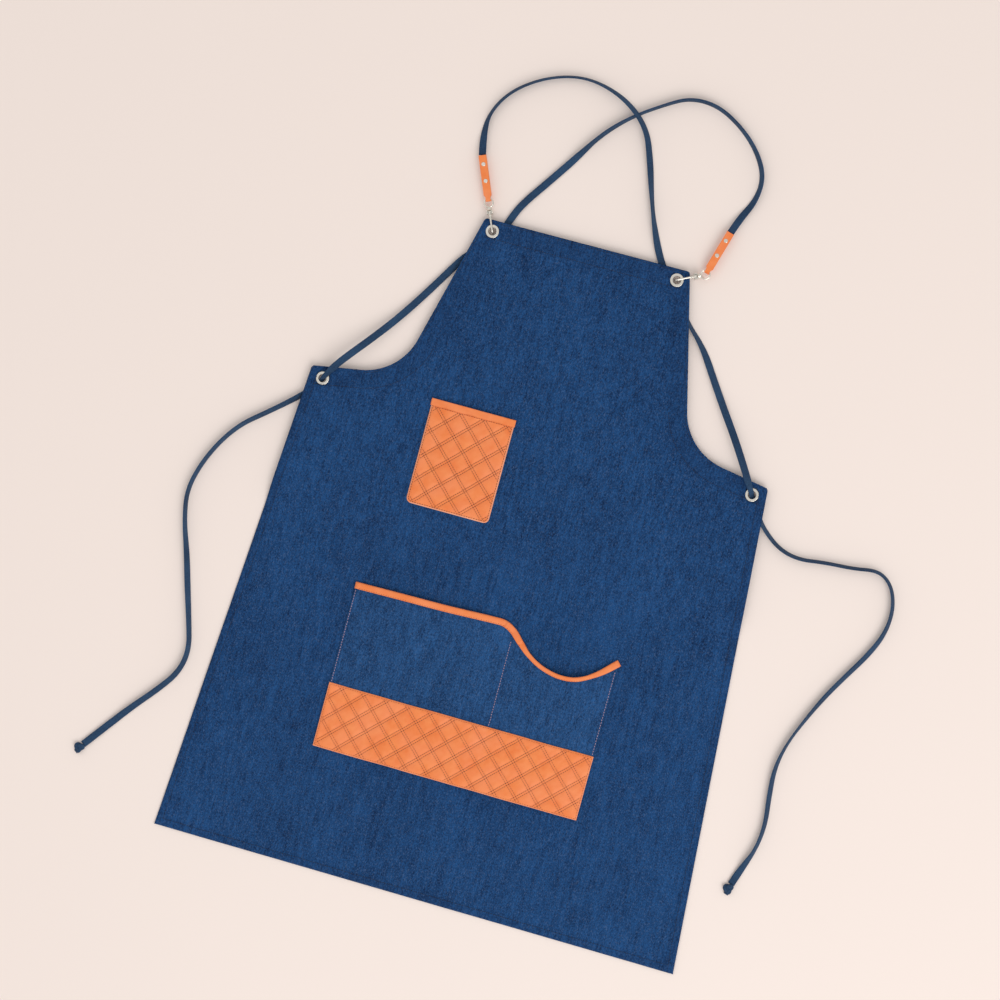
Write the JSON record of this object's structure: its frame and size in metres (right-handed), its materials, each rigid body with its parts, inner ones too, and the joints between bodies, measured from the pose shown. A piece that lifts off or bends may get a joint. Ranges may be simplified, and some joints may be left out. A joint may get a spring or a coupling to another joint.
{
  "type": "work apron",
  "caption": "Denim work apron with quilted leather pockets, metal eyelets and two straps that clip on with swivel snap hooks.",
  "frame": {"origin": "bottom centre of the apron with its snap hooks and leather tabs, straps left out, lying on its back", "axes": "+Y up the apron from hem to bib, +X to the viewer's right as the front is seen, +Z out of the front, up from the surface"},
  "size_m": [0.9539, 1.0645, 0.0171],
  "materials": {
    "denim": "twill weave",
    "webbing": "woven flat webbing",
    "leather": "smooth with quilting stitches",
    "nickel": "polished",
    "steel": "satin"
  },
  "bodies": {
    "root": {"apron_panel": "denim", "top_facing": "denim", "armhole_facing_left": "denim", "armhole_facing_right": "denim", "chest_pocket_panel": "leather", "chest_pocket_band": "leather", "lower_pocket_panel": "denim", "lower_pocket_binding": "leather", "lower_pocket_base_band": "leather", "eyelet_bib_left": "nickel", "eyelet_washer_bib_left": "nickel", "eyelet_bib_right": "nickel", "eyelet_washer_bib_right": "nickel", "eyelet_waist_left": "nickel", "eyelet_washer_waist_left": "nickel", "eyelet_waist_right": "nickel", "eyelet_washer_waist_right": "nickel", "swivel_eye_left": "nickel", "strap_left": "webbing", "strap_knot_left": "webbing", "swivel_eye_right": "nickel", "strap_right": "webbing", "strap_knot_right": "webbing"},
    "tab_left": {"leather_tab_left": "leather", "strap_end_left": "webbing", "rivet_posts_left": "nickel", "rivet_caps_left": "nickel"},
    "hook_left": {"hook_body_left": "nickel", "gate_pin_left": "steel", "gate_spring_left": "steel"},
    "gate_left": {"gate_lever_left": "nickel"},
    "tab_right": {"leather_tab_right": "leather", "strap_end_right": "webbing", "rivet_posts_right": "nickel", "rivet_caps_right": "nickel"},
    "hook_right": {"hook_body_right": "nickel", "gate_pin_right": "steel", "gate_spring_right": "steel"},
    "gate_right": {"gate_lever_right": "nickel"}
  },
  "joints": [
    {"name": "tab_swing_left", "type": "hinge", "parent": "root", "child": "tab_left", "pos_m": [-0.13289, 0.40928, 0.0073], "axis": [0, 0, 1], "range_deg": [-50, 50]},
    {"name": "hook_swivel_left", "type": "hinge", "parent": "root", "child": "hook_left", "pos_m": [-0.12961, 0.40144, 0.0073], "axis": [-0.3859, 0.9225, 0], "range_deg": [-30, 30]},
    {"name": "gate_left", "type": "hinge", "parent": "hook_left", "child": "gate_left", "pos_m": [-0.12826, 0.39821, 0.0115], "axis": [0.9225, 0.3859, 0], "range_deg": [0, 25], "stiffness_Nm_per_rad": 0.002},
    {"name": "tab_swing_right", "type": "hinge", "parent": "root", "child": "tab_right", "pos_m": [0.15136, 0.39185, 0.0073], "axis": [0, 0, 1], "range_deg": [-50, 50]},
    {"name": "hook_swivel_right", "type": "hinge", "parent": "root", "child": "hook_right", "pos_m": [0.14372, 0.38812, 0.0073], "axis": [0.8988, 0.4384, 0], "range_deg": [-30, 30]},
    {"name": "gate_right", "type": "hinge", "parent": "hook_right", "child": "gate_right", "pos_m": [0.14057, 0.38659, 0.0115], "axis": [0.4384, -0.8988, 0], "range_deg": [0, 25], "stiffness_Nm_per_rad": 0.002}
  ]
}
